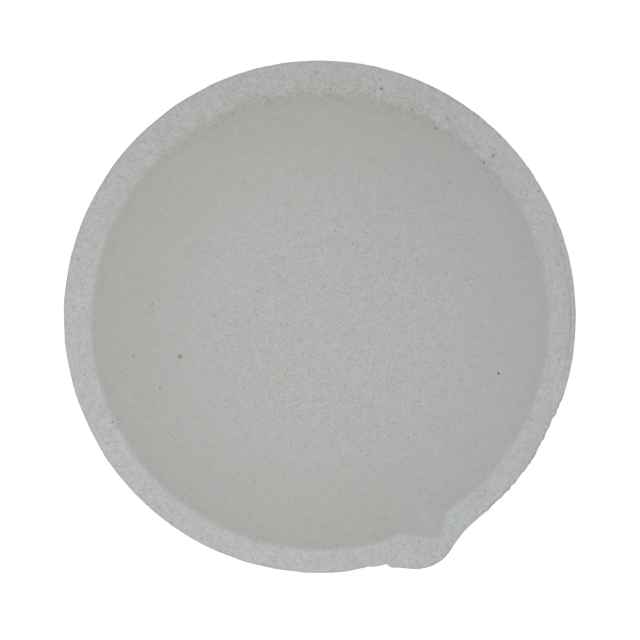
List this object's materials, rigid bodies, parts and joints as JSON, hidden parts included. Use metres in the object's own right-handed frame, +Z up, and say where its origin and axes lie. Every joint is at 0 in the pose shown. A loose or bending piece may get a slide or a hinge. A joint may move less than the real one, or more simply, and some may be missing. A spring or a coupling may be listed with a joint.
{
  "type": "pouring dish",
  "caption": "Shallow round dish of unglazed ceramic with a thick flat rim and a V-grooved pouring lip, of the mortar or melting-dish kind.",
  "frame": {"origin": "on the base, at the axis of the round outside", "axes": "+Z up, out of the basin; -Y towards the pouring lip; +X completes a right-handed frame"},
  "size_m": [0.105, 0.1088, 0.025],
  "materials": {
    "ceramic": "matt, unglazed, fine speckle"
  },
  "bodies": {
    "root": {"dish_body": "ceramic"}
  },
  "joints": []
}
